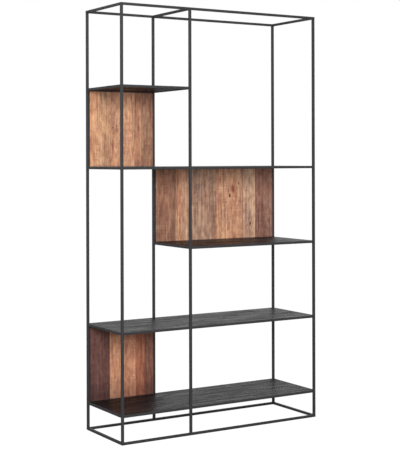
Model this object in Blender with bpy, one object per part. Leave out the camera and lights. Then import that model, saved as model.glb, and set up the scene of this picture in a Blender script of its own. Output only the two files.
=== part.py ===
"""Open bookcase: a welded frame of square steel tube, dark boards let into it and wooden back panels.

Units are metres. +X is to the right, +Y to the back and +Z up. The origin is on the floor, in the
middle of the footprint. Shelves are numbered from the floor up. The middle posts divide the
bookcase into a narrow left bay and a wide right bay.
"""

from math import cos, pi, sin, sqrt

import bmesh
import bpy
from mathutils import Matrix, Vector

# Overall size
HEIGHT = 2.2
WIDTH = 1.2
DEPTH = 0.4

# Square steel tube of the frame
TUBE = 0.0127
TUBE_WALL = 0.0012
TUBE_CORNER = 0.001

# Layout
LOWEST_SHELF_TOP = 0.148
SHELF_PITCH = 0.411
LEFT_BAY_SHARE = 1 / 3
SHELF_BAYS = {
    1: ("left", "right"),
    2: ("left", "right"),
    3: ("right",),
    4: ("left", "right"),
    5: ("left",),
}
PANEL_PLACES = {  # panel name: the bay it closes and the shelf it stands on
    "lower_left": ("left", 1),
    "middle_right": ("right", 3),
    "upper_left": ("left", 4),
}

# Steel lugs and bearers that carry the boards and hold the panels
LUG_THICKNESS = 0.002
LUG_WIDTH = 0.025
LUG_REACH = 0.018
LUG_CHAMFER = 0.004
LUG_SPACING = 0.42
WELD_DEPTH = TUBE_WALL / 2
BEARER_WIDTH = 0.03

# Screws that hold the panels to their lugs
SCREW_LENGTH = 0.008
SCREW_POINT = 0.002
SHANK_RADIUS = 0.00175
HEAD_RADIUS = 0.0036
HEAD_HEIGHT = 0.0018
HEAD_CROWN = 0.0024
LUG_HOLE_RADIUS = 0.00225
ROUND_SIDES = 12

# Room between pieces
GAP = 0.0003
BOARD_CLEARANCE = 0.001
PANEL_SIDE_GAPS = {"left": 0.0045, "right": 0.0015}
WOOD_EDGE = 0.0008

# Places worked out from the sizes above
POST_X = {"left": -(WIDTH - TUBE) / 2, "right": (WIDTH - TUBE) / 2}
POST_X["middle"] = POST_X["left"] + LEFT_BAY_SHARE * (WIDTH - TUBE)
POST_Y = {"front": -(DEPTH - TUBE) / 2, "back": (DEPTH - TUBE) / 2}
BAY_POSTS = {"left": ("left", "middle"), "right": ("middle", "right")}
INNER_DEPTH = DEPTH - 2 * TUBE

# How far a lug lies from the tube's face that it runs along: under a board, and behind a panel,
# where it leaves room for a screw's head
SHELF_LUG_INSET = 0.0012
PANEL_LUG_INSET = HEAD_HEIGHT + 2 * GAP
PANEL_LUG_FACE = DEPTH / 2 - PANEL_LUG_INSET

# Turns about Z that bring a tube's +Y side to face the middle of the shelf or frame it borders
FACING_TURN = {"front": 0, "back": pi, "left": -pi / 2, "right": pi / 2}

# Turns that bring a lug from a shelf's edge to the rear of a back rail
PANEL_LUG_TURN = {
    "panel_below": Matrix.Rotation(-pi / 2, 4, "X"),
    "panel_above": Matrix.Rotation(pi, 4, "Z") @ Matrix.Rotation(pi / 2, 4, "X"),
}


def shelf_top(shelf):
    """Height of a shelf's upper face, which is also the top of its rails."""
    return LOWEST_SHELF_TOP + (shelf - 1) * SHELF_PITCH


def outer_posts(shelf):
    """Names of the posts at a shelf's left and right ends."""
    bays = SHELF_BAYS[shelf]
    return BAY_POSTS[bays[0]][0], BAY_POSTS[bays[-1]][1]


# Materials


def make_material(name, colour, roughness, metallic=0.0):
    """Principled material of one colour."""
    material = bpy.data.materials.new(name)
    material.use_nodes = True
    shader = material.node_tree.nodes["Principled BSDF"]
    shader.inputs["Base Color"].default_value = (*colour, 1.0)
    shader.inputs["Roughness"].default_value = roughness
    shader.inputs["Metallic"].default_value = metallic
    return material


def make_materials():
    """The finishes: powder-coated steel, blackened screws, black-stained wood and reclaimed wood."""
    return {
        "steel": make_material("steel_black", (0.045, 0.044, 0.048), 0.5),
        "screw": make_material("screw_black", (0.070, 0.070, 0.075), 0.35, metallic=1.0),
        "board": make_material("board_black", (0.060, 0.052, 0.052), 0.5),
        "panel": make_material("panel_wood", (0.420, 0.225, 0.135), 0.65),
    }


# Meshes


def mesh_object(name, bm, material):
    """Links a new object with the mesh in bm, its faces turned outwards."""
    bmesh.ops.recalc_face_normals(bm, faces=bm.faces)
    mesh = bpy.data.meshes.new(name)
    bm.to_mesh(mesh)
    bm.free()
    thing = bpy.data.objects.new(name, mesh)
    bpy.context.scene.collection.objects.link(thing)
    if material is not None:
        mesh.materials.append(material)
    return thing


def chamfered_square(half, corner):
    """Points (y, z) round a square of half-width half, with its corners cut off."""
    flat = half - corner
    quarter = [(half, -flat), (half, flat)]
    points = []
    for step in range(4):
        turn = Matrix.Rotation(step * pi / 2, 2)
        points += [tuple(turn @ Vector(point)) for point in quarter]
    return points


def tube_mesh(length, mitred):
    """Square tube along X, open at both ends. A mitred one has its long side at -Y."""
    bm = bmesh.new()
    rings = {}
    for end in (-1, 1):
        for skin, half in (("outer", TUBE / 2), ("inner", TUBE / 2 - TUBE_WALL)):
            ring = []
            for y, z in chamfered_square(half, TUBE_CORNER):
                cut = y + TUBE / 2 if mitred else 0
                ring.append(bm.verts.new((end * (length / 2 - cut), y, z)))
            rings[skin, end] = ring
    walls = (
        (rings["outer", -1], rings["outer", 1]),
        (rings["inner", -1], rings["inner", 1]),
        (rings["outer", -1], rings["inner", -1]),
        (rings["outer", 1], rings["inner", 1]),
    )
    for first, second in walls:
        for i in range(len(first)):
            j = (i + 1) % len(first)
            bm.faces.new((first[i], first[j], second[j], second[i]))
    return bm


def circle(radius, x, y):
    """Points (x, y) round a circle."""
    angles = [2 * pi * i / ROUND_SIDES for i in range(ROUND_SIDES)]
    return [(x + radius * cos(angle), y + radius * sin(angle)) for angle in angles]


def add_plate(bm, outlines, low, thickness, matrix):
    """Adds a flat plate to bm: its outline and any holes in XY, from z = low up."""
    edges = []
    for outline in outlines:
        verts = [bm.verts.new((x, y, low)) for x, y in outline]
        edges += [bm.edges.new((verts[i - 1], verts[i])) for i in range(len(verts))]
    filled = bmesh.ops.triangle_fill(bm, edges=edges, use_beauty=True, normal=(0, 0, 1))
    faces = [item for item in filled["geom"] if isinstance(item, bmesh.types.BMFace)]
    raised = bmesh.ops.extrude_face_region(bm, geom=faces, use_keep_orig=True)["geom"]
    top = [item for item in raised if isinstance(item, bmesh.types.BMVert)]
    bmesh.ops.translate(bm, verts=top, vec=(0, 0, thickness))
    bottom = {vert for face in faces for vert in face.verts}
    bmesh.ops.transform(bm, matrix=matrix, verts=list(bottom) + top)


def add_box(bm, low, high):
    """Adds a box between two corners to bm."""
    low, high = Vector(low), Vector(high)
    place = Matrix.Translation((low + high) / 2) @ Matrix.Diagonal((*(high - low), 1))
    bmesh.ops.create_cube(bm, size=1, matrix=place)


def add_boolean(thing, operand, operation):
    """Joins operand to thing or cuts it out. The operand goes along with thing, hidden."""
    operand.parent = thing
    operand.hide_render = True
    operand.display_type = "WIRE"
    boolean = thing.modifiers.new(operation.lower(), "BOOLEAN")
    boolean.operation = operation
    boolean.solver = "EXACT"
    boolean.object = operand


# Steel


def lug_places(length):
    """Distances of a rail's lugs from its middle: one lug, or two on a long rail."""
    count = 2 if length > LUG_SPACING else 1
    return [length * ((i + 0.5) / count - 0.5) for i in range(count)]


def lugs_mesh(length, panel_sides):
    """All the lugs on one rail, each sunk into the tube's wall by the weld depth."""
    root = TUBE / 2 - WELD_DEPTH
    tip = TUBE / 2 + LUG_REACH
    side = LUG_WIDTH / 2
    outline = (
        (-side, root),
        (side, root),
        (side, tip - LUG_CHAMFER),
        (side - LUG_CHAMFER, tip),
        (LUG_CHAMFER - side, tip),
        (-side, tip - LUG_CHAMFER),
    )
    hole = circle(LUG_HOLE_RADIUS, 0, TUBE / 2 + LUG_REACH / 2)
    bm = bmesh.new()
    for x in lug_places(length):
        place = Matrix.Translation((x, 0, 0))
        add_plate(bm, [outline], SHELF_LUG_INSET - TUBE / 2, LUG_THICKNESS, place)
        for panel_side in panel_sides:
            turned = place @ PANEL_LUG_TURN[panel_side]
            add_plate(bm, [outline, hole], PANEL_LUG_INSET - TUBE / 2, LUG_THICKNESS, turned)
    return bm


def add_tube(name, centre, length, turn, parts, mitred=False):
    """A tube about centre, turned by the matrix turn."""
    tube = mesh_object(name, tube_mesh(length, mitred), parts["steel"])
    tube.matrix_world = Matrix.Translation(centre) @ turn
    tube.parent = parts["root"]
    return tube


def weld_lugs(rail, length, panel_sides=()):
    """Joins a rail and its lugs into one body."""
    lugs = mesh_object(rail.name + "_lugs", lugs_mesh(length, panel_sides), None)
    add_boolean(rail, lugs, "UNION")


def make_rectangle(prefix, height, parts):
    """Mitred rectangle of four tubes whose middle line lies at height."""
    mitre_room = GAP / sqrt(2)
    for side, turn in FACING_TURN.items():
        along_x = side in POST_Y
        centre = (0, POST_Y[side], height) if along_x else (POST_X[side], 0, height)
        length = (WIDTH if along_x else DEPTH) - 2 * mitre_room
        add_tube(prefix + side, centre, length, Matrix.Rotation(turn, 4, "Z"), parts, mitred=True)


def make_posts(parts):
    """Six posts standing on the base rectangle and ending under the top one."""
    length = HEIGHT - 2 * TUBE - 2 * GAP
    upright = Matrix.Rotation(-pi / 2, 4, "Y")
    for row, y in POST_Y.items():
        for column, x in POST_X.items():
            add_tube(f"post_{row}_{column}", (x, y, HEIGHT / 2), length, upright, parts)


def make_top_divider(parts):
    """Rail across the top rectangle between the middle posts."""
    centre = (POST_X["middle"], 0, HEIGHT - TUBE / 2)
    turn = Matrix.Rotation(FACING_TURN["left"], 4, "Z")
    add_tube("top_rail_middle", centre, INNER_DEPTH - 2 * GAP, turn, parts)


def panel_lugs(shelf, bay):
    """Sides of a shelf's back rail on which a panel's lugs are welded."""
    sides = []
    for panel_bay, stands_on in PANEL_PLACES.values():
        if bay == panel_bay and shelf == stands_on:
            sides.append("panel_above")
        if bay == panel_bay and shelf == stands_on + 1:
            sides.append("panel_below")
    return sides


def make_long_rails(shelf, parts):
    """Front and back rails of a shelf, one for each bay it spans."""
    height = shelf_top(shelf) - TUBE / 2
    bays = SHELF_BAYS[shelf]
    for row, y in POST_Y.items():
        for bay in bays:
            start, end = (POST_X[post] for post in BAY_POSTS[bay])
            length = end - start - TUBE - 2 * GAP
            name = f"shelf_{shelf}_rail_{row}"
            if len(bays) > 1:
                name += "_" + bay
            turn = Matrix.Rotation(FACING_TURN[row], 4, "Z")
            rail = add_tube(name, ((start + end) / 2, y, height), length, turn, parts)
            panel_sides = panel_lugs(shelf, bay) if row == "back" else []
            weld_lugs(rail, length, panel_sides)


def make_end_rails(shelf, parts):
    """Rails from front to back at a shelf's two ends."""
    length = INNER_DEPTH - 2 * GAP
    for side, post in zip(("left", "right"), outer_posts(shelf)):
        centre = (POST_X[post], 0, shelf_top(shelf) - TUBE / 2)
        turn = Matrix.Rotation(FACING_TURN[side], 4, "Z")
        rail = add_tube(f"shelf_{shelf}_rail_{side}", centre, length, turn, parts)
        weld_lugs(rail, length)


def make_bearer(shelf, parts):
    """Flat bar between the middle posts that carries the middle of a full-width board."""
    side = BEARER_WIDTH / 2
    reach = INNER_DEPTH / 2 - GAP
    outline = ((-side, -reach), (side, -reach), (side, reach), (-side, reach))
    bm = bmesh.new()
    add_plate(bm, [outline], 0, LUG_THICKNESS, Matrix.Identity(4))
    bearer = mesh_object(f"shelf_{shelf}_bearer", bm, parts["steel"])
    bearer.location = (POST_X["middle"], 0, shelf_top(shelf) - TUBE + SHELF_LUG_INSET)
    bearer.parent = parts["root"]


# Wood


def add_wood(name, low, high, material, parts):
    """Wooden board between two corners, with its edges eased."""
    half = (Vector(high) - Vector(low)) / 2
    bm = bmesh.new()
    add_box(bm, -half, half)
    board = mesh_object(name, bm, material)
    board.location = Vector(low) + half
    board.parent = parts["root"]
    edge = board.modifiers.new("eased edges", "BEVEL")
    edge.width = WOOD_EDGE
    edge.segments = 1
    return board


def make_board(shelf, parts):
    """Board let into a shelf's rails, its upper face level with theirs."""
    start, end = (POST_X[post] for post in outer_posts(shelf))
    edge = TUBE / 2 + BOARD_CLEARANCE
    reach = INNER_DEPTH / 2 - BOARD_CLEARANCE
    top = shelf_top(shelf)
    low = (start + edge, -reach, top - TUBE + SHELF_LUG_INSET + LUG_THICKNESS + GAP)
    add_wood(f"shelf_{shelf}_board", low, (end - edge, reach, top), parts["board"], parts)


def screw_places(name):
    """Name ending and place of each screw of a back panel, where its shank meets its head."""
    bay, stands_on = PANEL_PLACES[name]
    start, end = (POST_X[post] for post in BAY_POSTS[bay])
    heights = {
        "bottom": shelf_top(stands_on) + LUG_REACH / 2,
        "top": shelf_top(stands_on + 1) - TUBE - LUG_REACH / 2,
    }
    across = lug_places(end - start - TUBE - 2 * GAP)
    endings = [""] if len(across) == 1 else ["_left", "_right"]
    places = {}
    for edge, height in heights.items():
        for ending, x in zip(endings, across):
            places[edge + ending] = Vector(((start + end) / 2 + x, PANEL_LUG_FACE + GAP, height))
    return places


def turned_mesh(profile):
    """Solid turned about Z from a profile of points (radius, z) that starts and ends on the axis."""
    bm = bmesh.new()
    verts = [bm.verts.new((radius, 0, z)) for radius, z in profile]
    edges = [bm.edges.new(pair) for pair in zip(verts, verts[1:])]
    spin_axis = {"cent": (0, 0, 0), "axis": (0, 0, 1), "angle": 2 * pi}
    bmesh.ops.spin(bm, geom=verts + edges, steps=ROUND_SIDES, use_merge=True, **spin_axis)
    bmesh.ops.remove_doubles(bm, verts=bm.verts, dist=GAP / 10)
    return bm


def make_screws(name, parts):
    """The screws of one back panel, put in from behind."""
    profile = (
        (0, HEAD_HEIGHT),
        (HEAD_CROWN, HEAD_HEIGHT),
        (HEAD_RADIUS, HEAD_HEIGHT / 2),
        (HEAD_RADIUS, 0),
        (SHANK_RADIUS, 0),
        (SHANK_RADIUS, SCREW_POINT - SCREW_LENGTH),
        (0, -SCREW_LENGTH),
    )
    for ending, place in screw_places(name).items():
        screw = mesh_object(f"screw_{name}_{ending}", turned_mesh(profile), parts["screw"])
        screw.data.shade_smooth()
        screw.data.set_sharp_from_angle(angle=pi / 6)
        screw.location = place
        screw.rotation_euler = (-pi / 2, 0, 0)
        screw.parent = parts["root"]


def pilot_holes(name, centre):
    """Solid of all the holes that a back panel's screws need, about the panel's own centre."""
    depth = SCREW_LENGTH + GAP
    bm = bmesh.new()
    for place in screw_places(name).values():
        x, z = place.x - centre.x, place.z - centre.z
        y = place.y - centre.y - depth
        turn = Matrix.Translation((0, y, 0)) @ Matrix.Rotation(-pi / 2, 4, "X")
        add_plate(bm, [circle(SHANK_RADIUS + GAP, x, -z)], 0, depth, turn)
    return mesh_object(f"back_panel_{name}_holes", bm, None)


def lug_pockets(name, centre):
    """Solid of the pockets that take the lugs in a panel's rear, about the panel's own centre."""
    reach = LUG_REACH / 2 + BOARD_CLEARANCE
    side = LUG_WIDTH / 2 + BOARD_CLEARANCE
    floor = PANEL_LUG_FACE - LUG_THICKNESS - GAP
    bm = bmesh.new()
    for place in screw_places(name).values():
        low = Vector((place.x - side, floor, place.z - reach))
        high = Vector((place.x + side, DEPTH / 2, place.z + reach))
        add_box(bm, low - centre, high - centre)
    return mesh_object(f"back_panel_{name}_pockets", bm, None)


def make_panel(name, parts):
    """Back panel that stands on one back rail, between two posts and under the next rail."""
    bay, stands_on = PANEL_PLACES[name]
    start, end = (POST_X[post] for post in BAY_POSTS[bay])
    left = start + TUBE / 2 + PANEL_SIDE_GAPS["left"]
    right = end - TUBE / 2 - PANEL_SIDE_GAPS["right"]
    low = (left, DEPTH / 2 - TUBE, shelf_top(stands_on) + GAP)
    high = (right, DEPTH / 2 - GAP, shelf_top(stands_on + 1) - TUBE - GAP)
    panel = add_wood(f"back_panel_{name}", low, high, parts["panel"], parts)
    add_boolean(panel, lug_pockets(name, panel.location), "DIFFERENCE")
    add_boolean(panel, pilot_holes(name, panel.location), "DIFFERENCE")


# Assembly


def clear_scene():
    """Removes whatever the scene holds."""
    for thing in list(bpy.data.objects):
        bpy.data.objects.remove(thing, do_unlink=True)


def make_bookcase():
    """Builds every piece under one empty."""
    root = bpy.data.objects.new("bookcase", None)
    bpy.context.scene.collection.objects.link(root)
    parts = {"root": root, **make_materials()}
    make_rectangle("base_rail_", TUBE / 2, parts)
    make_posts(parts)
    make_rectangle("top_rail_", HEIGHT - TUBE / 2, parts)
    make_top_divider(parts)
    for shelf, bays in SHELF_BAYS.items():
        make_long_rails(shelf, parts)
        make_end_rails(shelf, parts)
        if len(bays) > 1:
            make_bearer(shelf, parts)
        make_board(shelf, parts)
    for name in PANEL_PLACES:
        make_panel(name, parts)
        make_screws(name, parts)


clear_scene()
make_bookcase()
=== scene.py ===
"""Looks of the open bookcase: a welded frame of square steel tube with a black powder coat, five
boards glued up from black-stained planks and three back panels of reclaimed planks.

Units are metres in the frame of the CAD model: +X to the right, +Y to the back and +Z up. Places
come from the CAD nodes. Shelves are numbered from the floor up.
"""

from itertools import product
from math import cos, pi, radians, sin, sqrt
from random import Random

import bmesh
import bpy
from mathutils import Matrix, Vector


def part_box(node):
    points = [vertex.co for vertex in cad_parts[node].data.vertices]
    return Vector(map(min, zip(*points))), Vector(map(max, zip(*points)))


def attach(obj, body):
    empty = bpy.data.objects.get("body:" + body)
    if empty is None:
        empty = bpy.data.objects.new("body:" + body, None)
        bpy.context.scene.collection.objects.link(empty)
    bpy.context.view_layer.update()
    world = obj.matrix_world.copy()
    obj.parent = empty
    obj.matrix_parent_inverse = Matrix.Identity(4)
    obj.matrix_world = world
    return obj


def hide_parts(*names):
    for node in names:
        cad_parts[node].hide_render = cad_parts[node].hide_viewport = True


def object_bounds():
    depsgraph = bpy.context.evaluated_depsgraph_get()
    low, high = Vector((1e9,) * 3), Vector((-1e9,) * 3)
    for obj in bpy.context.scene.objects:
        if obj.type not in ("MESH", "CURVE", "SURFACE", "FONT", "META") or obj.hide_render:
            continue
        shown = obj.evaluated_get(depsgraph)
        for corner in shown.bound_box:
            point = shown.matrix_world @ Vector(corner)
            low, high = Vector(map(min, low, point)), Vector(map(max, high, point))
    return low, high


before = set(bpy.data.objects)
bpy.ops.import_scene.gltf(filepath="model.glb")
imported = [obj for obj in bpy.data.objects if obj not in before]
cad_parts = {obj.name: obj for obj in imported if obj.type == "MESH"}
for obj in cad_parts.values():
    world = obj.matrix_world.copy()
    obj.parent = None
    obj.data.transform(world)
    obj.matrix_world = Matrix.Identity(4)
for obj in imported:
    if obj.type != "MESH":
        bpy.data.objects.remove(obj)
CAD_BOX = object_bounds()


# Places of the CAD nodes

ROWS = ("front", "back")
COLUMNS = ("left", "middle", "right")
SHELVES = (1, 2, 3, 4, 5)
PANELS = ("lower_left", "middle_right", "upper_left")


def middle(node):
    """Middle of a CAD node's box."""
    low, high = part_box(node)
    return (low + high) / 2


POST_X = {column: middle(f"post_front_{column}").x for column in COLUMNS}
POST_Y = {row: middle(f"post_{row}_left").y for row in ROWS}
SHELF_TOP = {shelf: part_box(f"shelf_{shelf}_board")[1].z for shelf in SHELVES}
SCREWS = [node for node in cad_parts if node.startswith("screw_")]
HEIGHT = CAD_BOX[1].z
TUBE = 2 * (POST_X["left"] - CAD_BOX[0].x)
HALF = TUBE / 2


def nearest_column(x):
    """Name of the posts nearest to x."""
    return min(COLUMNS, key=lambda column: abs(POST_X[column] - x))


# Steel sizes
TUBE_WALL = 0.0012
TUBE_CORNER = 0.001
CORNER_STEPS = 4
BEAD_LEG = 0.0013
SMALL_BEAD_LEG = 0.0009
BEAD_STEP = 0.0011
BEAD_SINK = 0.0001
BEAD_PROFILE = ((0, 0), (1, 0), (0.72, 0.38), (0.38, 0.72), (0, 1))
BEAD_RIPPLE = 0.12
BEAD_END = 0.35
BEAD_TAPER = 6
LUG_SPACING = 0.42
LUG_WIDTH = 0.025
LUG_REACH = 0.018
LUG_CORNER = 0.004
LUG_THICKNESS = 0.002
LUG_HOLE = 0.00225
LUG_SINK = TUBE_WALL / 2
SHELF_LUG_INSET = 0.0012
PANEL_LUG_INSET = 0.0024
PLATE_EDGE = 0.0003
CIRCLE_STEPS = 24

# Screw sizes
HEAD_RADIUS = 0.0036
HEAD_HEIGHT = 0.0018
HEAD_FLAT = 0.45
HEAD_RIM = 0.25
DOME_ANGLE = pi / 3
SOCKET_RADIUS = 0.0013
SOCKET_DEPTH = 0.0011
SHANK_RADIUS = 0.00175
POINT_RADIUS = SHANK_RADIUS / 8
THREAD_DEPTH = 0.0003
THREAD_PITCH = 0.0009
THREAD_TURNS = 7
POINT_LENGTH = 0.0017

# Wood sizes
SEAM_EASE = 0.0006
PLANK_LIFT = 0.0003
BOARD_ROWS = 5
ROW_WIDTHS = (0.8, 1.2)
JOINT_PLACES = ((0.55, 0.85), (0.3, 0.7))
STAIN_STRENGTHS = (0.75, 1.25)
STAIN_WARMTHS = (0.94, 1.0)
SEEDS = (0, 10)
POCKET_ROOM = 0.001
POCKET_CLEARANCE = 0.0003

# Limits used on meshes
SHARP_ANGLE = radians(40)
RIM_ANGLE = radians(60)
SAME_PLACE = 0.0001

X_AXIS = Vector((1, 0, 0))
Y_AXIS = Vector((0, 1, 0))
Z_AXIS = Vector((0, 0, 1))


# Meshes


def new_piece(name, bm, material, body, node):
    """Makes the mesh in bm a piece that rides on a CAD body and stands for a CAD node."""
    bmesh.ops.recalc_face_normals(bm, faces=bm.faces)
    mesh = bpy.data.meshes.new(name)
    bm.to_mesh(mesh)
    bm.free()
    mesh.materials.append(material)
    mesh.shade_smooth()
    mesh.set_sharp_from_angle(angle=SHARP_ANGLE)
    piece = bpy.data.objects.new(name, mesh)
    bpy.context.scene.collection.objects.link(piece)
    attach(piece, body)
    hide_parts(node)


def bridge(bm, first, second):
    """Closes the strip between two rings of vertices."""
    for i in range(len(first)):
        bm.faces.new((first[i - 1], first[i], second[i], second[i - 1]))


def rounded_square(half, radius):
    """Points (y, z, edge) round a square with round corners; edge is 1 at a corner's middle."""
    flat = half - radius
    points = []
    for quarter in range(4):
        turn = Matrix.Rotation(quarter * pi / 2, 2)
        for step in range(CORNER_STEPS + 1):
            angle = step / CORNER_STEPS * pi / 2
            point = turn @ Vector((flat + radius * cos(angle), flat + radius * sin(angle)))
            points.append((point.x, point.y, sin(2 * angle)))
    return points


def corner_drop(offset):
    """How far a tube's face falls away at an offset from its middle line, at its round corner."""
    into_corner = max(0, abs(offset) - (HALF - TUBE_CORNER))
    return TUBE_CORNER - sqrt(max(0, TUBE_CORNER**2 - into_corner**2))


def butt(y, z):
    """End of a tube along X that is cut to fit the face of an upright tube."""
    return corner_drop(y)


def flat_butt(y, z):
    """End of a tube along X that is cut to fit the side of a level tube."""
    return corner_drop(z)


def mitre(y, z):
    """End of a tube along X that is mitred, with its long side at -Y."""
    return -(y + HALF)


def corner_seat(y, z):
    """End of a corner post, whose outer sides are -Y and +Z, seated on a mitred corner."""
    return corner_drop(max(-y, z, 0))


def add_tube(bm, start, end, turn, cut):
    """Hollow tube between two points, its ends shaped by cut; turn brings X to its length."""
    edge_layer = bm.verts.layers.float.new("edge")
    centre = (start + end) / 2
    half_length = (end - start).length / 2
    rings = {}
    for side in (-1, 1):
        for skin, half, radius in (
            ("outer", HALF, TUBE_CORNER),
            ("inner", HALF - TUBE_WALL, TUBE_CORNER - TUBE_WALL / 2),
        ):
            ring = []
            for y, z, edge in rounded_square(half, radius):
                x = side * (half_length + cut(y, z))
                vert = bm.verts.new(centre + turn @ Vector((x, y, z)))
                vert[edge_layer] = edge if skin == "outer" else 0
                ring.append(vert)
            rings[skin, side] = ring
    bridge(bm, rings["outer", -1], rings["outer", 1])
    bridge(bm, rings["inner", -1], rings["inner", 1])
    bridge(bm, rings["outer", -1], rings["inner", -1])
    bridge(bm, rings["outer", 1], rings["inner", 1])


def add_bead(bm, centre, along, first_leg, second_leg, length, leg_length=BEAD_LEG):
    """Weld bead in the corner between two faces, with the ripples of the weld along it."""
    corner = centre - BEAD_SINK * (first_leg + second_leg)
    steps = 2 * round(length / BEAD_STEP)
    rings = []
    for step in range(steps + 1):
        share = step / steps
        ripple = 1 - BEAD_RIPPLE * (1 - step % 2)
        taper = min(1, BEAD_END + BEAD_TAPER * min(share, 1 - share))
        leg = leg_length * ripple * taper
        place = corner + (share - 0.5) * length * along
        points = [place + leg * (a * first_leg + b * second_leg) for a, b in BEAD_PROFILE]
        rings.append([bm.verts.new(point) for point in points])
    for first, second in zip(rings, rings[1:]):
        bridge(bm, first, second)
    bm.faces.new(rings[0])
    bm.faces.new(rings[-1])


def arc(x, y, radius, start, turn, steps):
    """Points on an arc about (x, y) that begins at the angle start and goes on for turn."""
    angles = [start + turn * step / steps for step in range(steps + 1)]
    return [(x + radius * cos(angle), y + radius * sin(angle)) for angle in angles]


def append_mesh(bm, other):
    """Adds the bmesh other to bm and frees it."""
    mesh = bpy.data.meshes.new("part of a piece")
    other.to_mesh(mesh)
    other.free()
    bm.from_mesh(mesh)
    bpy.data.meshes.remove(mesh)


def add_plate(bm, outline, holes, low, thickness, matrix):
    """Flat plate: outline and holes in XY, from z = low up, with its edges eased."""
    plate = bmesh.new()
    edges = []
    for loop in (outline, *holes):
        verts = [plate.verts.new((x, y, low)) for x, y in loop]
        edges += [plate.edges.new((verts[i - 1], verts[i])) for i in range(len(verts))]
    filled = bmesh.ops.triangle_fill(plate, edges=edges, use_beauty=True, normal=(0, 0, 1))
    faces = [item for item in filled["geom"] if isinstance(item, bmesh.types.BMFace)]
    raised = bmesh.ops.extrude_face_region(plate, geom=faces, use_keep_orig=True)["geom"]
    top = [item for item in raised if isinstance(item, bmesh.types.BMVert)]
    bmesh.ops.translate(plate, verts=top, vec=(0, 0, thickness))
    bmesh.ops.recalc_face_normals(plate, faces=plate.faces)
    rims = [edge for edge in plate.edges if edge.calc_face_angle(0) > RIM_ANGLE]
    bmesh.ops.bevel(plate, geom=rims, offset=PLATE_EDGE, segments=2, affect="EDGES", profile=0.5)
    bmesh.ops.transform(plate, matrix=matrix, verts=plate.verts)
    append_mesh(bm, plate)


def add_cells(bm, cuts, is_hollow):
    """Closed solid of the box cells between cuts along each axis, without the hollow ones."""
    counts = [len(axis_cuts) - 1 for axis_cuts in cuts]

    def is_solid(cell):
        inside = all(0 <= index < count for index, count in zip(cell, counts))
        return inside and not is_hollow(*((c[i] + c[i + 1]) / 2 for c, i in zip(cuts, cell)))

    verts = {}
    for cell in product(*map(range, counts)):
        for axis, step in product(range(3), (0, 1)):
            neighbour = list(cell)
            neighbour[axis] += 2 * step - 1
            if not is_solid(cell) or is_solid(neighbour):
                continue
            corners = []
            for first, second in ((0, 0), (1, 0), (1, 1), (0, 1)):
                index = list(cell)
                index[axis] += step
                index[(axis + 1) % 3] += first
                index[(axis + 2) % 3] += second
                index = tuple(index)
                if index not in verts:
                    verts[index] = bm.verts.new([c[i] for c, i in zip(cuts, index)])
                corners.append(verts[index])
            bm.faces.new(corners)


# Node trees


class Nodes:
    """Short calls that add the nodes of one material or group and link them."""

    def __init__(self, tree):
        self.tree = tree

    def add(self, kind, inputs, **settings):
        """Adds a node; an input is a value or the output socket that feeds it."""
        node = self.tree.nodes.new(kind)
        for key, value in settings.items():
            setattr(node, key, value)
        for name, value in inputs.items():
            if isinstance(value, bpy.types.NodeSocket):
                self.tree.links.new(value, node.inputs[name])
            else:
                node.inputs[name].default_value = value
        return node

    def noise(self, vector, scale, detail=2.0, roughness=0.5):
        """Noise from 0 to 1. A scale per axis stretches it."""
        if not isinstance(scale, (int, float)):
            vector, scale = self.vector("MULTIPLY", vector, scale), 1.0
        inputs = {"Vector": vector, "Scale": scale, "Detail": detail, "Roughness": roughness}
        return self.add("ShaderNodeTexNoise", inputs).outputs["Fac"]

    def vector(self, operation, first, second):
        """Sum, product and so on of two vectors."""
        node = self.add("ShaderNodeVectorMath", {0: first, 1: second}, operation=operation)
        return node.outputs["Value" if operation == "LENGTH" else "Vector"]

    def math(self, operation, first, second=0.0):
        """Sum, product and so on of two numbers."""
        return self.add("ShaderNodeMath", {0: first, 1: second}, operation=operation).outputs[0]

    def product(self, value, *factors):
        """Product of numbers."""
        for factor in factors:
            value = self.math("MULTIPLY", value, factor)
        return value

    def ramp(self, value, low, high, start=0.0, end=1.0):
        """Takes value from start at low to end at high, smoothly and no further."""
        inputs = {"Value": value, "From Min": low, "From Max": high, "To Min": start, "To Max": end}
        node = self.add("ShaderNodeMapRange", inputs, interpolation_type="SMOOTHSTEP")
        return node.outputs["Result"]

    def mix(self, share, first, second, blend="MIX"):
        """Blend of two colours, or with MULTIPLY the first with a share of their product."""
        inputs = {0: share, 6: first, 7: second}
        settings = {"data_type": "RGBA", "blend_type": blend}
        return self.add("ShaderNodeMix", inputs, **settings).outputs[2]

    def powers(self, value, *powers):
        """Colour whose channels are powers of a value."""
        channels = zip(("Red", "Green", "Blue"), powers)
        inputs = {name: self.math("POWER", value, power) for name, power in channels}
        return self.add("ShaderNodeCombineColor", inputs).outputs["Color"]

    def bump(self, height, distance, normal=None):
        """Normal of a surface that stands distance higher where height is 1."""
        inputs = {"Height": height, "Distance": distance, "Strength": 1.0}
        if normal is not None:
            inputs["Normal"] = normal
        return self.add("ShaderNodeBump", inputs).outputs["Normal"]

    def attribute(self, name, output):
        """A value stored in the mesh."""
        return self.add("ShaderNodeAttribute", {}, attribute_name=name).outputs[output]

    def facing(self, axis):
        """1 where a surface faces along an axis of its object, either way, and 0 where it doesn't."""
        normal = self.add("ShaderNodeTexCoord", {}).outputs["Normal"]
        part = self.add("ShaderNodeSeparateXYZ", {"Vector": normal}).outputs[axis]
        return self.ramp(self.math("ABSOLUTE", part), 0.5, 0.9)


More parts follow.
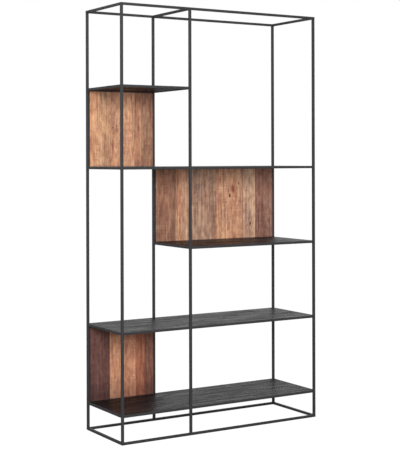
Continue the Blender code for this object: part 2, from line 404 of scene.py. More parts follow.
def new_material(name, **shader_values):
    """Material with a Principled shader, and its Nodes, shader and object coordinates."""
    material = bpy.data.materials.new(name)
    material.use_nodes = True
    shader = material.node_tree.nodes["Principled BSDF"]
    for socket, value in shader_values.items():
        shader.inputs[socket.replace("_", " ")].default_value = value
    nodes = Nodes(material.node_tree)
    place = nodes.add("ShaderNodeTexCoord", {}).outputs["Object"]
    return material, nodes, shader, place


def finish_material(nodes, shader, colour, roughness, normal):
    """Feeds the three fields that vary over a surface to its shader."""
    nodes.tree.links.new(colour, shader.inputs["Base Color"])
    nodes.tree.links.new(roughness, shader.inputs["Roughness"])
    nodes.tree.links.new(normal, shader.inputs["Normal"])


# Steel materials


def make_powder_coat():
    """Black powder coat: orange peel, soft sheen changes, rubbed corners and a little dust."""
    material, nodes, shader, place = new_material("steel_powder_coat", Specular_IOR_Level=0.3)
    patches = nodes.noise(place, 7.0, detail=3.0)
    grit = nodes.noise(place, 900.0, detail=2.0)
    peel = nodes.noise(place, 320.0, detail=1.0)
    worn = nodes.product(nodes.attribute("edge", "Fac"), nodes.noise(place, 45.0, detail=4.0))
    worn = nodes.ramp(worn, 0.45, 0.62)
    coat = nodes.mix(patches, (0.013, 0.013, 0.015, 1), (0.021, 0.020, 0.022, 1))
    coat = nodes.mix(nodes.ramp(grit, 0.35, 0.75, 0, 0.3), coat, (0.036, 0.035, 0.038, 1))
    colour = nodes.mix(worn, coat, (0.085, 0.082, 0.080, 1))
    roughness = nodes.ramp(nodes.noise(place, 26.0, detail=4.0), 0.3, 0.7, 0.44, 0.60)
    roughness = nodes.math("SUBTRACT", roughness, nodes.product(worn, 0.12))
    normal = nodes.bump(grit, 0.00004, nodes.bump(peel, 0.00012))
    finish_material(nodes, shader, colour, roughness, normal)
    return material


def make_screw_steel():
    """Blackened steel with smudges and fine pitting."""
    material, nodes, shader, place = new_material("screw_blackened", Metallic=1.0)
    smudge = nodes.noise(place, 400.0, detail=3.0)
    colour = nodes.mix(smudge, (0.045, 0.045, 0.050, 1), (0.105, 0.102, 0.100, 1))
    roughness = nodes.ramp(smudge, 0.3, 0.7, 0.28, 0.46)
    normal = nodes.bump(nodes.noise(place, 2600.0, detail=2.0), 0.00003)
    finish_material(nodes, shader, colour, roughness, normal)
    return material


# Wood materials. Grain coordinates are (across, through, along) the fibres.


SHADE_POWERS = (1.0, 1.32, 1.22)  # red, green and blue
END_SHADE_SPAN = (0.975, 0.995)  # shares of a plank's half length, where the painted shade at its ends starts and is full
# Painted shade that darkens the foot of the lower left panel and the head of the upper left panel, its edge
# made uneven by noise
PAINTED_SHADE_UNEVEN = 0.05
PAINTED_SHADE_ENDS = (  # panel, whether at its foot, length, strength of the painted shade
    ("lower_left", True, 0.14, 0.85),
    ("upper_left", False, 0.15, 0.5),
)
KNOT_FIELDS = ("Bend", "Core", "Rings", "Dark")
KNOTS = (  # across, along, size, darkness: a red knot and two dark ones by it, then small ones
    (0.315, 1.250, 0.0130, 0.15),
    (0.292, 1.214, 0.0065, 0.90),
    (0.431, 1.053, 0.0065, 0.80),
    (0.352, 1.283, 0.0050, 0.30),
    (-0.449, 1.588, 0.0028, 0.80),
    (-0.425, 1.596, 0.0030, 0.80),
    (-0.300, 0.209, 0.0050, 0.60),
)


def make_knot_group():
    """Group for one knot: how far it bends the grain aside, and how much it covers a point."""
    group = bpy.data.node_groups.new("knot", "ShaderNodeTree")
    for name, kind in (("Grain", "Vector"), ("Centre", "Vector"), ("Size", "Float"), ("Darkness", "Float")):
        group.interface.new_socket(name, in_out="INPUT", socket_type="NodeSocket" + kind)
    for name in KNOT_FIELDS:
        group.interface.new_socket(name, in_out="OUTPUT", socket_type="NodeSocketFloat")
    nodes = Nodes(group)
    given = nodes.add("NodeGroupInput", {}).outputs
    away = nodes.vector("SUBTRACT", given["Grain"], given["Centre"])
    across = nodes.add("ShaderNodeSeparateXYZ", {"Vector": away}).outputs["X"]
    flattened = nodes.vector("MULTIPLY", away, (1.0, 0.0, 0.5))
    distance = nodes.math("DIVIDE", nodes.vector("LENGTH", flattened, (0, 0, 0)), given["Size"])
    near = nodes.ramp(distance, 0.0, 4.0, 1.0, 0.0)
    bend = nodes.product(across, near, -0.8)
    ragged = nodes.math("ADD", distance, nodes.noise(given["Grain"], 220.0, detail=3.0))
    core = nodes.ramp(ragged, 0.9, 1.7, 1.0, 0.0)
    rings = nodes.product(nodes.math("SINE", nodes.product(ragged, 9.0)), core)
    dark = nodes.product(core, given["Darkness"])
    nodes.add("NodeGroupOutput", dict(zip(KNOT_FIELDS, (bend, core, rings, dark))))
    return group


def grain_coordinates(nodes, place, along):
    """Grain coordinates of planks that run along X or Z."""
    axes = nodes.add("ShaderNodeSeparateXYZ", {"Vector": place}).outputs
    across, through = ("Y", "Z") if along == "X" else ("X", "Y")
    inputs = {"X": axes[across], "Y": axes[through], "Z": axes[along]}
    return nodes.add("ShaderNodeCombineXYZ", inputs).outputs["Vector"]


def own_stretch(nodes, grain):
    """Moves the grain coordinates by the plank's seed, so that no two planks match."""
    seed = nodes.attribute("seed", "Fac")
    inputs = {"X": nodes.product(seed, 3.7), "Y": seed, "Z": nodes.product(seed, 9.1)}
    return nodes.vector("ADD", grain, nodes.add("ShaderNodeCombineXYZ", inputs).outputs["Vector"])


def bent_grain(nodes, grain, bend):
    """Lets the fibres wander from side to side, and bend round any knots."""
    wander = nodes.noise(grain, (11.0, 11.0, 1.6), detail=2.0)
    shift = nodes.product(nodes.math("SUBTRACT", wander, 0.5), 0.035)
    shift = nodes.math("ADD", shift, bend)
    offset = nodes.add("ShaderNodeCombineXYZ", {"X": shift}).outputs["Vector"]
    return nodes.vector("ADD", grain, offset)


def wood_fields(nodes, grain):
    """Fibres, streaks, growth bands and drying cracks, each from 0 to 1."""
    line = nodes.noise(grain, (75.0, 75.0, 1.9), detail=1.0)
    off_line = nodes.math("ABSOLUTE", nodes.math("SUBTRACT", line, 0.5))
    on_crack = nodes.ramp(off_line, 0.004, 0.014, 1.0, 0.0)
    cracked = nodes.ramp(nodes.noise(grain, (9.0, 9.0, 2.4), detail=1.0), 0.60, 0.68)
    return {
        "fibre": nodes.noise(grain, (950.0, 950.0, 16.0), detail=2.0),
        "streak": nodes.noise(grain, (110.0, 110.0, 4.2), detail=4.0, roughness=0.65),
        "band": nodes.noise(grain, (34.0, 34.0, 1.3), detail=2.0),
        "crack": nodes.product(on_crack, cracked),
    }


def edge_share(nodes):
    """1 along a plank's long edges, falling to 0 a little way in."""
    across = nodes.math("ABSOLUTE", nodes.attribute("across", "Fac"))
    return nodes.ramp(across, 0.95, 1.0)


def add_knots(nodes, grain):
    """All the knots of the panels: their bend, cores, rings and dark hearts, each added up."""
    group = make_knot_group()
    totals = dict.fromkeys(KNOT_FIELDS, 0.0)
    for across, along, size, darkness in KNOTS:
        inputs = {"Grain": grain, "Centre": (across, 0, along), "Size": size, "Darkness": darkness}
        knot = nodes.add("ShaderNodeGroup", inputs, node_tree=group)
        for name, total in totals.items():
            totals[name] = nodes.math("ADD", total, knot.outputs[name])
    return totals.values()


def painted_end_shade(nodes):
    """Where painted shade darkens a plank's ends, next to the rails: 1 at its two ends, falling to 0 a few
    millimetres in.
    """
    return nodes.ramp(nodes.math("ABSOLUTE", nodes.attribute("along", "Fac")), *END_SHADE_SPAN)


def painted_shade_ends(nodes, straight, own):
    """How much painted shade darkens the foot or head of some panels' planks, its edge made uneven by
    noise.
    """
    uneven = nodes.math("SUBTRACT", nodes.noise(own, (60.0, 60.0, 12.0), detail=3.0), 0.5)
    height = nodes.add("ShaderNodeSeparateXYZ", {"Vector": straight}).outputs["Z"]
    height = nodes.math("ADD", height, nodes.product(uneven, PAINTED_SHADE_UNEVEN))
    head_foot_shade = 0.0
    for panel, is_foot, length, strength in PAINTED_SHADE_ENDS:
        low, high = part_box(f"back_panel_{panel}")
        end, inner = (low.z, low.z + length) if is_foot else (high.z, high.z - length)
        head_foot_shade = nodes.math("MAXIMUM", head_foot_shade, nodes.ramp(height, end, inner, strength, 0.0))
    return head_foot_shade


def saw_marks(nodes, own):
    """Marks of the saw straight across the planks, in patches."""
    mark = nodes.noise(own, (7.0, 7.0, 260.0), detail=2.0)
    patch = nodes.noise(own, (10.0, 10.0, 4.0))
    return nodes.product(nodes.ramp(mark, 0.42, 0.62), nodes.ramp(patch, 0.45, 0.60))


def plank_shade(nodes, own, fields, saw):
    """What a point's tone is multiplied by. The darker it is, the redder."""
    mottle = nodes.noise(own, (55.0, 55.0, 26.0), detail=4.0, roughness=0.6)
    fleck = nodes.noise(own, (260.0, 260.0, 55.0), detail=2.0)
    shade = nodes.product(
        nodes.ramp(fields["streak"], 0.30, 0.52, 0.60, 1.0),
        nodes.ramp(fields["streak"], 0.52, 0.72, 1.0, 1.26),
        nodes.ramp(fields["fibre"], 0.30, 0.70, 0.86, 1.10),
        nodes.ramp(mottle, 0.32, 0.66, 0.76, 1.16),
        nodes.ramp(fleck, 0.66, 0.74, 1.0, 0.62),
        nodes.ramp(saw, 0.0, 1.0, 1.0, 0.84),
    )
    return nodes.powers(shade, *SHADE_POWERS)


def plank_stains_and_shade(nodes, straight, own, fields):
    """Patches of stain, and the painted shade at the foot or head of some panels: where each one lies, and
    what it multiplies the colour by.
    """
    grey = nodes.noise(own, (19.0, 19.0, 3.0))
    dusty = nodes.noise(own, (80.0, 80.0, 14.0), detail=3.0)
    return (
        (nodes.ramp(fields["band"], 0.40, 0.62), (0.97, 0.86, 0.82, 1)),
        (nodes.ramp(grey, 0.52, 0.70), (0.80, 0.82, 0.86, 1)),
        (nodes.ramp(dusty, 0.48, 0.66), (1.06, 1.18, 1.28, 1)),
        # painted shade at the foot or head of some panels
        (painted_shade_ends(nodes, straight, own), (0.50, 0.46, 0.48, 1)),
    )


def plank_marks_and_shade(nodes, core, rings, dark, crack):
    """Knots, cracks and seams, and the painted shade at the plank ends and on the faces that look along X
    or Z: how much each covers, and its colour.
    """
    # painted shade on the faces that look along X or Z: the plank sides in the gaps by the posts, and the
    # plank ends by the rails
    painted_rim_shade = nodes.math("MAXIMUM", nodes.facing("X"), nodes.facing("Z"))
    return (
        (nodes.product(core, 0.8), (0.27, 0.070, 0.046, 1)),
        (nodes.ramp(rings, 0.2, 1.0, 0, 0.35), (0.06, 0.020, 0.013, 1)),
        (dark, (0.045, 0.016, 0.011, 1)),
        (nodes.product(crack, 0.8), (0.03, 0.016, 0.011, 1)),
        (nodes.product(edge_share(nodes), 0.30), (0.06, 0.03, 0.02, 1)),
        # painted shade at the plank ends, next to the rails
        (nodes.product(painted_end_shade(nodes), 0.60), (0.05, 0.026, 0.02, 1)),
        # painted shade on the narrow faces that look along X or Z
        (nodes.product(painted_rim_shade, 0.75), (0.035, 0.017, 0.012, 1)),
    )


def make_reclaimed_wood():
    """Reclaimed planks: a tone for each plank, streaks, stains, knots, saw marks, cracks, seams, and
    painted shade at the plank ends, on their narrow faces and at some panels' foot or head.
    """
    material, nodes, shader, place = new_material("panel_reclaimed", Specular_IOR_Level=0.3)
    straight = grain_coordinates(nodes, place, "Z")
    bend, core, rings, dark = add_knots(nodes, straight)
    own = own_stretch(nodes, straight)
    fields = wood_fields(nodes, bent_grain(nodes, own, bend))
    saw = saw_marks(nodes, own)
    tone = nodes.attribute("tone", "Color")
    colour = nodes.mix(1.0, tone, plank_shade(nodes, own, fields, saw), "MULTIPLY")
    for share, factors in plank_stains_and_shade(nodes, straight, own, fields):
        colour = nodes.mix(share, colour, factors, "MULTIPLY")
    for share, cover in plank_marks_and_shade(nodes, core, rings, dark, fields["crack"]):
        colour = nodes.mix(share, colour, cover)
    roughness = nodes.ramp(fields["streak"], 0.3, 0.7, 0.74, 0.58)
    relief = nodes.math("SUBTRACT", fields["fibre"], nodes.product(fields["crack"], 2.5))
    relief = nodes.math("SUBTRACT", relief, nodes.product(saw, 0.8))
    finish_material(nodes, shader, colour, roughness, nodes.bump(relief, 0.00025))
    return material


def make_black_wood():
    """Black-stained planks whose open grain, sheen and stain change along each plank."""
    material, nodes, shader, place = new_material("board_black_stain", Specular_IOR_Level=0.10)
    own = own_stretch(nodes, grain_coordinates(nodes, place, "X"))
    fields = wood_fields(nodes, bent_grain(nodes, own, 0.0))
    pores = nodes.ramp(fields["fibre"], 0.36, 0.46, 1.0, 0.0)
    rubbed = nodes.product(edge_share(nodes), nodes.noise(own, (60.0, 60.0, 9.0)))
    streak = nodes.ramp(fields["streak"], 0.32, 0.68)
    stain = nodes.mix(streak, (0.003, 0.002, 0.002, 1), (0.019, 0.015, 0.016, 1))
    colour = nodes.mix(1.0, stain, nodes.attribute("tone", "Color"), "MULTIPLY")
    colour = nodes.mix(nodes.product(pores, 0.6), colour, (0.006, 0.005, 0.005, 1))
    colour = nodes.mix(nodes.ramp(rubbed, 0.35, 0.8, 0, 0.5), colour, (0.085, 0.060, 0.050, 1))
    roughness = nodes.ramp(fields["streak"], 0.38, 0.62, 0.56, 0.29)
    relief = nodes.math("SUBTRACT", fields["streak"], nodes.product(pores, 0.8))
    relief = nodes.math("SUBTRACT", relief, nodes.product(fields["crack"], 2.0))
    finish_material(nodes, shader, colour, roughness, nodes.bump(relief, 0.0006))
    return material


# Steel frame

ALONG_X = Matrix.Identity(3)
ALONG_Y = Matrix.Rotation(pi / 2, 3, "Z")
ALONG_Z = Matrix.Rotation(-pi / 2, 3, "Y")
HALF_TURN = Matrix.Rotation(pi, 3, "Z")

# Turns about Z from a front rail to the others, its +Y side towards the middle of the frame
FACING_TURN = {"front": 0, "back": pi, "left": -pi / 2, "right": pi / 2}

# Turns about Z from the front left corner to the others
CORNER_TURN = {
    ("front", "left"): 0,
    ("front", "right"): pi / 2,
    ("back", "right"): pi,
    ("back", "left"): -pi / 2,
}

# Turns from a front rail's lug to one that stands on a back rail, or hangs from it, at its rear
STANDING_LUG = Matrix.Rotation(pi / 2, 4, "X")
HANGING_LUG = Matrix.Rotation(pi, 4, "Z") @ Matrix.Rotation(-pi / 2, 4, "X")

# Directions along X from the posts of a column to the inside of the bookcase
INWARD = {"left": (1,), "middle": (-1, 1), "right": (-1,)}


def tube_piece(node, start, end, turn, cut, steel):
    """Tube that stands for one CAD node, welded to what it meets at both ends."""
    bm = bmesh.new()
    add_tube(bm, Vector(start), Vector(end), turn, cut)
    new_piece(node + "_tube", bm, steel, "frame", node)


def weld_piece(node, beads, steel):
    """Weld beads of one CAD node. A bead is (centre, along, first leg, second leg, length)."""
    bm = bmesh.new()
    for bead in beads:
        add_bead(bm, *bead)
    new_piece(node + "_welds", bm, steel, "frame", node)


def make_rectangle(prefix, height, steel):
    """Mitred rectangle of four tubes whose middle line lies at height."""
    left, right = POST_X["left"] - HALF, POST_X["right"] + HALF
    front, back = POST_Y["front"] - HALF, POST_Y["back"] + HALF
    y, x = POST_Y, POST_X
    rails = {
        "front": ((left, y["front"], height), (right, y["front"], height), ALONG_X),
        "back": ((left, y["back"], height), (right, y["back"], height), HALF_TURN),
        "left": ((x["left"], front, height), (x["left"], back, height), HALF_TURN @ ALONG_Y),
        "right": ((x["right"], front, height), (x["right"], back, height), ALONG_Y),
    }
    for side, (start, end, turn) in rails.items():
        tube_piece(prefix + side, start, end, turn, mitre, steel)


def post_beads(row, column):
    """Weld beads at a post's foot and head, in the corners that its inner sides make."""
    x, y = POST_X[column], POST_Y[row]
    width = TUBE - 2 * TUBE_CORNER
    beads = []
    for height, up in ((TUBE, Z_AXIS), (HEIGHT - TUBE, -Z_AXIS)):
        for side in INWARD[column]:
            beads.append((Vector((x + side * HALF, y, height)), Y_AXIS, side * X_AXIS, up, width))
        if column != "middle":
            side = 1 if row == "front" else -1
            beads.append((Vector((x, y + side * HALF, height)), X_AXIS, side * Y_AXIS, up, width))
    return beads


def make_posts(steel):
    """Six posts between the base rectangle and the top one."""
    for row, y in POST_Y.items():
        for column, x in POST_X.items():
            node = f"post_{row}_{column}"
            ends = (x, y, TUBE), (x, y, HEIGHT - TUBE)
            corner_turn = Matrix.Rotation(CORNER_TURN.get((row, column), 0), 3, "Z")
            cut = butt if column == "middle" else corner_seat
            tube_piece(node, *ends, corner_turn @ ALONG_Z, cut, steel)
            weld_piece(node, post_beads(row, column), steel)


def rail_beads(start, end):
    """Weld beads under a rail's two ends, in the corners with the posts."""
    along = (end - start).normalized()
    down = HALF * Z_AXIS
    width = TUBE - 2 * TUBE_CORNER
    across = along.cross(Z_AXIS)
    return [(start - down, across, along, -Z_AXIS, width), (end - down, across, -along, -Z_AXIS, width)]


def add_lug(bm, matrix, inset, holes):
    """Lug on a tube's +Y side, inset from its lower side, with a weld bead along its root."""
    side, tip = LUG_WIDTH / 2, HALF + LUG_REACH
    outline = [(-side, HALF - LUG_SINK), (side, HALF - LUG_SINK)]
    for x, start in ((side - LUG_CORNER, 0), (LUG_CORNER - side, pi / 2)):
        outline += arc(x, tip - LUG_CORNER, LUG_CORNER, start, pi / 2, CIRCLE_STEPS // 4)
    add_plate(bm, outline, holes, inset - HALF, LUG_THICKNESS, matrix)
    turn = matrix.to_3x3()
    corner = matrix @ Vector((0, HALF, inset - HALF))
    bead_length = LUG_WIDTH - 2 * LUG_CORNER
    legs = turn @ Y_AXIS, turn @ -Z_AXIS
    add_bead(bm, corner, turn @ X_AXIS, *legs, bead_length, SMALL_BEAD_LEG)


def add_panel_lugs(bm, rail_centre, rail_length):
    """Lugs with screw holes on a back rail, behind each panel edge that lies along it."""
    hole = arc(0, HALF + LUG_REACH / 2, LUG_HOLE, 0, 2 * pi, CIRCLE_STEPS)[:-1]
    for screw in SCREWS:
        place = middle(screw)
        away = place - rail_centre
        if abs(away.x) > rail_length / 2 or abs(away.z) > LUG_REACH:
            continue
        spot = Matrix.Translation((place.x, rail_centre.y, rail_centre.z))
        turn = STANDING_LUG if away.z > 0 else HANGING_LUG
        add_lug(bm, spot @ turn, PANEL_LUG_INSET, [hole])


def make_rail(node, side, start, end, steel):
    """Rail of a shelf between two posts, with its welds and its lugs."""
    along_x = side in POST_Y
    start, end = Vector(start), Vector(end)
    tube_piece(node, start, end, ALONG_X if along_x else ALONG_Y, butt, steel)
    weld_piece(node, rail_beads(start, end), steel)
    bm = bmesh.new()
    centre, length = (start + end) / 2, (end - start).length
    facing = Matrix.Translation(centre) @ Matrix.Rotation(FACING_TURN[side], 4, "Z")
    count = 2 if length > LUG_SPACING else 1
    for i in range(count):
        offset = length * ((i + 0.5) / count - 0.5)
        add_lug(bm, facing @ Matrix.Translation((offset, 0, 0)), SHELF_LUG_INSET, [])
    if side == "back":
        add_panel_lugs(bm, centre, length)
    new_piece(node + "_lugs", bm, steel, "frame", node)


def make_shelf_rails(shelf, steel):
    """Rails round a shelf's board, from post to post."""
    height = SHELF_TOP[shelf] - HALF
    prefix = f"shelf_{shelf}_rail_"
    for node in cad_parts:
        if not node.startswith(prefix):
            continue
        side = node.removeprefix(prefix).split("_")[0]
        low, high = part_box(node)
        if side in POST_Y:
            y = POST_Y[side]
            start_x = POST_X[nearest_column(low.x)] + HALF
            end_x = POST_X[nearest_column(high.x)] - HALF
            make_rail(node, side, (start_x, y, height), (end_x, y, height), steel)
        else:
            column = nearest_column(low.x)
            x = POST_X[column]
            ends = (x, POST_Y["front"] + HALF, height), (x, POST_Y["back"] - HALF, height)
            make_rail(node, side, *ends, steel)


def make_top_divider(steel):
    """Rail across the top rectangle between the middle posts."""
    node = "top_rail_middle"
    x, height = POST_X["middle"], HEIGHT - HALF
    start, end = Vector((x, POST_Y["front"] + HALF, height)), Vector((x, POST_Y["back"] - HALF, height))
    tube_piece(node, start, end, ALONG_Y, flat_butt, steel)
    beads = []
    for place, leg in ((start, Y_AXIS), (end, -Y_AXIS)):
        for side in (-1, 1):
            corner = place + side * HALF * X_AXIS
            beads.append((corner, Z_AXIS, side * X_AXIS, leg, TUBE - 2 * TUBE_CORNER))
    weld_piece(node, beads, steel)


def make_bearer(shelf, steel):
    """Flat bar under the middle of a full-width board, with a weld bead at each end."""
    node = f"shelf_{shelf}_bearer"
    low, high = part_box(node)
    centre = (low + high) / 2
    half_width, reach = (high.x - low.x) / 2, POST_Y["back"] - HALF
    outline = [(-half_width, -reach), (half_width, -reach), (half_width, reach), (-half_width, reach)]
    bm = bmesh.new()
    place = Matrix.Translation((centre.x, centre.y, low.z))
    add_plate(bm, outline, [], 0, high.z - low.z, place)
    for side in (-1, 1):
        corner = Vector((centre.x, side * reach, low.z))
        legs = -side * Y_AXIS, -Z_AXIS
        add_bead(bm, corner, X_AXIS, *legs, 2 * half_width - HALF, SMALL_BEAD_LEG)
    new_piece(node + "_bar", bm, steel, "frame", node)


def make_frame(steel):
    """Every piece of steel but the screws."""
    make_rectangle("base_rail_", HALF, steel)
    make_rectangle("top_rail_", HEIGHT - HALF, steel)
    make_posts(steel)
    make_top_divider(steel)
    for shelf in SHELVES:
        make_shelf_rails(shelf, steel)
        if f"shelf_{shelf}_bearer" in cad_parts:
            make_bearer(shelf, steel)


def screw_ring(bm, radius, height, place, corners=0):
    """Ring of points about a screw's axis, round or with a number of corners."""
    ring = []
    for step in range(CIRCLE_STEPS):
        angle = 2 * pi * step / CIRCLE_STEPS
        reach = radius
        if corners:
            half_side = pi / corners
            reach *= cos(half_side) / cos(angle % (2 * half_side) - half_side)
        ring.append(bm.verts.new(place + Vector((reach * cos(angle), height, reach * sin(angle)))))
    return ring


def make_screw(node, steel):
    """Domed screw with a six-sided socket, put in from behind, and its thread."""
    low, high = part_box(node)
    place = Vector(((low.x + high.x) / 2, high.y - HEAD_HEIGHT, (low.z + high.z) / 2))
    bm = bmesh.new()
    rings = [screw_ring(bm, POINT_RADIUS, low.y - place.y, place)]
    thread_start = low.y - place.y + POINT_LENGTH
    for turn in range(THREAD_TURNS):
        height = thread_start + turn * THREAD_PITCH
        rings.append(screw_ring(bm, SHANK_RADIUS - THREAD_DEPTH, height, place))
        rings.append(screw_ring(bm, SHANK_RADIUS, height + THREAD_PITCH / 2, place))
    rings.append(screw_ring(bm, SHANK_RADIUS, 0, place))
    rings.append(screw_ring(bm, HEAD_RADIUS, 0, place))
    for step in range(CORNER_STEPS + 1):
        angle = step / CORNER_STEPS * DOME_ANGLE
        inward = (1 - cos(angle)) / (1 - cos(DOME_ANGLE))
        upward = sin(angle) / sin(DOME_ANGLE)
        radius = HEAD_RADIUS * (1 - (1 - HEAD_FLAT) * inward)
        height = HEAD_HEIGHT * (HEAD_RIM + (1 - HEAD_RIM) * upward)
        rings.append(screw_ring(bm, radius, height, place))
    rings.append(screw_ring(bm, SOCKET_RADIUS, HEAD_HEIGHT, place, corners=6))
    rings.append(screw_ring(bm, SOCKET_RADIUS, HEAD_HEIGHT - SOCKET_DEPTH, place, corners=6))
    for first, second in zip(rings, rings[1:]):
        bridge(bm, first, second)
    bm.faces.new(rings[0])
    bm.faces.new(rings[-1])
    new_piece(node + "_domed", bm, steel, "frame", node)


# Wood


def float_layer(bm, name):
    """Layer of bm that holds a number for each point."""
    layers = bm.verts.layers.float
    return layers.get(name) or layers.new(name)


def add_plank(bm, low, high, along, tone, seed, pockets=()):
    """Closed plank with eased edges, less its pockets. Its points hold the material's values."""
    colour = bm.verts.layers.float_color.get("tone") or bm.verts.layers.float_color.new("tone")
    seeds = float_layer(bm, "seed")
    across_layer, along_layer = float_layer(bm, "across"), float_layer(bm, "along")
    others = set(bm.verts)
    cuts = []
    for axis in range(3):
        marks = {value for box in pockets for value in (box[0][axis], box[1][axis])}
        inside = {mark for mark in marks if low[axis] < mark < high[axis]}
        cuts.append(sorted(inside | {low[axis], high[axis]}))

    def is_hollow(*point):
        return any(
            all(start < part < end for start, part, end in zip(box[0], point, box[1]))
            for box in pockets
        )

    add_cells(bm, cuts, is_hollow)
    across_axis, along_axis = (1, 0) if along == "X" else (0, 2)
    edges = [
        edge for edge in set(bm.edges)
        if edge.verts[0] not in others and is_outer_edge(edge, low, high)
    ]
    bmesh.ops.bevel(bm, geom=edges, offset=SEAM_EASE, segments=2, affect="EDGES")
    centre, half_size = (low + high) / 2, (high - low) / 2
    for vert in bm.verts:
        if vert not in others:
            vert[colour] = (*tone, 1)
            vert[seeds] = seed
            share = [part / half for part, half in zip(vert.co - centre, half_size)]
            vert[across_layer], vert[along_layer] = share[across_axis], share[along_axis]


def is_outer_edge(edge, low, high):
    """Whether an edge lies on one of the twelve edges of the box from low to high."""
    first, second = (vert.co for vert in edge.verts)
    shared = 0
    for axis in range(3):
        for limit in (low[axis], high[axis]):
            shared += max(abs(first[axis] - limit), abs(second[axis] - limit)) < SAME_PLACE
    return shared == 2


def make_board(shelf, wood):
    """Board glued up from rows of planks with staggered ends."""
    draw = Random(shelf)
    low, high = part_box(f"shelf_{shelf}_board")
    bm = bmesh.new()
    shares = [draw.uniform(*ROW_WIDTHS) for row in range(BOARD_ROWS)]
    front = low.y
    for row, share in enumerate(shares):
        back = front + (high.y - low.y) * share / sum(shares)
        joint = draw.uniform(*JOINT_PLACES[row % 2])
        ends = [low.x, low.x + joint * (high.x - low.x), high.x]
        for start, end in zip(ends, ends[1:]):
            tone = draw.uniform(*STAIN_STRENGTHS)
            warm = draw.uniform(*STAIN_WARMTHS)
            corners = Vector((start, front, low.z)), Vector((end, back, high.z))
            add_plank(bm, *corners, "X", (tone, tone * warm, tone * warm), draw.uniform(*SEEDS))
        front = back
    name = f"shelf_{shelf}_board"
    new_piece(name + "_planks", bm, wood, name, name)


TONES = {
    "straw": (0.490, 0.271, 0.149),
    "amber": (0.515, 0.268, 0.152),
    "honey": (0.485, 0.271, 0.164),
    "tan": (0.505, 0.272, 0.159),
    "copper": (0.515, 0.252, 0.139),
    "tawny": (0.375, 0.193, 0.112),
    "russet": (0.276, 0.143, 0.086),
    "olive": (0.371, 0.222, 0.146),
    "chestnut": (0.270, 0.140, 0.087),
    "ash": (0.505, 0.315, 0.205),
    "cinnamon": (0.470, 0.215, 0.120),
    "sienna": (0.297, 0.116, 0.065),
    "umber": (0.254, 0.127, 0.088),
    "sepia": (0.180, 0.074, 0.046),
    "dark_umber": (0.116, 0.051, 0.041),
}
PANEL_PLANKS = {  # widths in millimetres and tones, from left to right
    "upper_left": ((123, "straw"), (143, "amber"), (42, "tawny"), (68, "russet")),
    "middle_right": (
        (124, "chestnut"), (96, "honey"), (168, "olive"), (176, "tan"), (88, "ash"), (120, "umber"),
    ),
    "lower_left": (
        (113, "dark_umber"), (81, "copper"), (76, "cinnamon"), (52, "sienna"), (54, "sepia"),
    ),
}


def make_panel(name, wood):
    """Back panel glued up from upright planks of different woods, with pockets for its lugs."""
    draw = Random(name)
    low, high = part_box(f"back_panel_{name}")
    side = LUG_WIDTH / 2 + POCKET_ROOM
    reach = LUG_REACH / 2 + POCKET_ROOM
    floor = POST_Y["back"] + HALF - PANEL_LUG_INSET - LUG_THICKNESS - POCKET_CLEARANCE
    pockets = []
    for screw in SCREWS:
        if name in screw:
            place = middle(screw)
            pockets.append((
                (place.x - side, floor, place.z - reach),
                (place.x + side, high.y + POCKET_ROOM, place.z + reach),
            ))
    planks = PANEL_PLANKS[name]
    total = sum(width for width, tone in planks)
    bm = bmesh.new()
    left = low.x
    for width, tone in planks:
        right = left + (high.x - low.x) * width / total
        corners = Vector((left, low.y + draw.uniform(0, PLANK_LIFT), low.z)), Vector((right, *high.yz))
        add_plank(bm, *corners, "Z", TONES[tone], draw.uniform(*SEEDS), pockets)
        left = right
    node = f"back_panel_{name}"
    new_piece(node + "_planks", bm, wood, "frame", node)


# Stage


CAMERA_PLACE = (-3.235, -5.237, 1.418)
CAMERA_HEADING = radians(31.55)
CAMERA_ROLL = radians(0.15)
CAMERA_SENSOR = 36
CAMERA_LENS = 91.56
CAMERA_SHIFT = -0.1457
FLOOR_HALF = 200
FLOOR_DROP = 0.0005
LIGHTS = (  # name, place, target, size, power
    ("front_box", (-2.5, -4.9, 2.1), (0, 0, 1.6), 2.0, 400),
    ("top_box", (-0.6, -0.8, 4.2), (0, 0, 1.2), 2.0, 40),
)
AMBIENT = 0.28
REFLECTED = 1.0
FLOOR_GLOW = (0.3, 0.98)


def make_camera():
    """Level camera to the left of the bookcase, shifted down to take in its foot."""
    data = bpy.data.cameras.new("camera")
    data.sensor_width = CAMERA_SENSOR
    data.lens = CAMERA_LENS
    data.shift_y = CAMERA_SHIFT
    camera = bpy.data.objects.new("camera", data)
    bpy.context.scene.collection.objects.link(camera)
    heading = Matrix.Rotation(-CAMERA_HEADING, 4, "Z") @ Matrix.Rotation(pi / 2, 4, "X")
    roll = Matrix.Rotation(-CAMERA_ROLL, 4, "Z")
    camera.matrix_world = Matrix.Translation(CAMERA_PLACE) @ heading @ roll
    bpy.context.scene.camera = camera


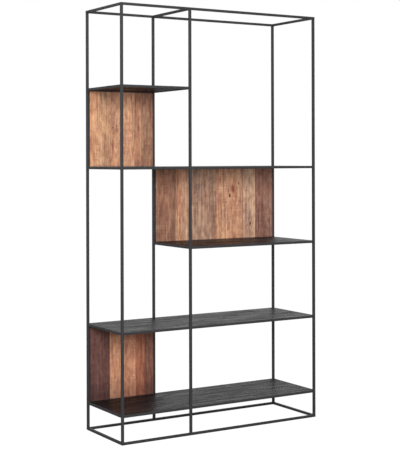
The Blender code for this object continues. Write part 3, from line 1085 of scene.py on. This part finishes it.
def make_floor():
    """Plain pale floor that glows a little, so that it runs into the white surroundings."""
    bm = bmesh.new()
    bmesh.ops.create_grid(bm, x_segments=1, y_segments=1, size=FLOOR_HALF)
    mesh = bpy.data.meshes.new("floor")
    bm.to_mesh(mesh)
    bm.free()
    material, nodes, shader, place = new_material("floor_pale", Specular_IOR_Level=0.0)
    mottle = nodes.noise(place, 3.0, detail=3.0)
    colour = nodes.mix(mottle, (0.09, 0.09, 0.09, 1), (0.11, 0.11, 0.11, 1))
    nodes.tree.links.new(colour, shader.inputs["Base Color"])
    shader.inputs["Roughness"].default_value = 1.0
    shader.inputs["Emission Color"].default_value = (1, 1, 1, 1)
    seen = nodes.add("ShaderNodeLightPath", {}).outputs["Is Camera Ray"]
    nodes.tree.links.new(nodes.ramp(seen, 0.0, 1.0, *FLOOR_GLOW), shader.inputs["Emission Strength"])
    mesh.materials.append(material)
    floor = bpy.data.objects.new("floor", mesh)
    bpy.context.scene.collection.objects.link(floor)
    floor.location.z = -FLOOR_DROP


def make_light(name, place, target, size, power):
    """Square soft box aimed at a point."""
    data = bpy.data.lights.new(name, "AREA")
    data.size = size
    data.energy = power
    light = bpy.data.objects.new(name, data)
    bpy.context.scene.collection.objects.link(light)
    light.location = place
    light.rotation_euler = (Vector(target) - Vector(place)).to_track_quat("-Z", "Y").to_euler()


def make_world():
    """White surroundings that light the bookcase less than they show."""
    world = bpy.data.worlds.new("white studio")
    world.use_nodes = True
    nodes = Nodes(world.node_tree)
    background = world.node_tree.nodes["Background"]
    background.inputs["Color"].default_value = (1, 1, 1, 1)
    path = nodes.add("ShaderNodeLightPath", {}).outputs
    mirrored = nodes.ramp(path["Is Glossy Ray"], 0.0, 1.0, AMBIENT, REFLECTED)
    strength = nodes.math("MAXIMUM", mirrored, path["Is Camera Ray"])
    world.node_tree.links.new(strength, background.inputs["Strength"])
    bpy.context.scene.world = world


def make_stage():
    """White surroundings, floor, soft light from the front and above, and camera."""
    bpy.context.scene.view_settings.view_transform = "Standard"
    make_world()
    make_floor()
    for light in LIGHTS:
        make_light(*light)
    make_camera()


# Assembly


def make_bookcase():
    """Every piece, in its finish."""
    make_frame(make_powder_coat())
    screw_steel = make_screw_steel()
    for screw in SCREWS:
        make_screw(screw, screw_steel)
    black = make_black_wood()
    for shelf in SHELVES:
        make_board(shelf, black)
    reclaimed = make_reclaimed_wood()
    for name in PANELS:
        make_panel(name, reclaimed)


make_bookcase()
make_stage()
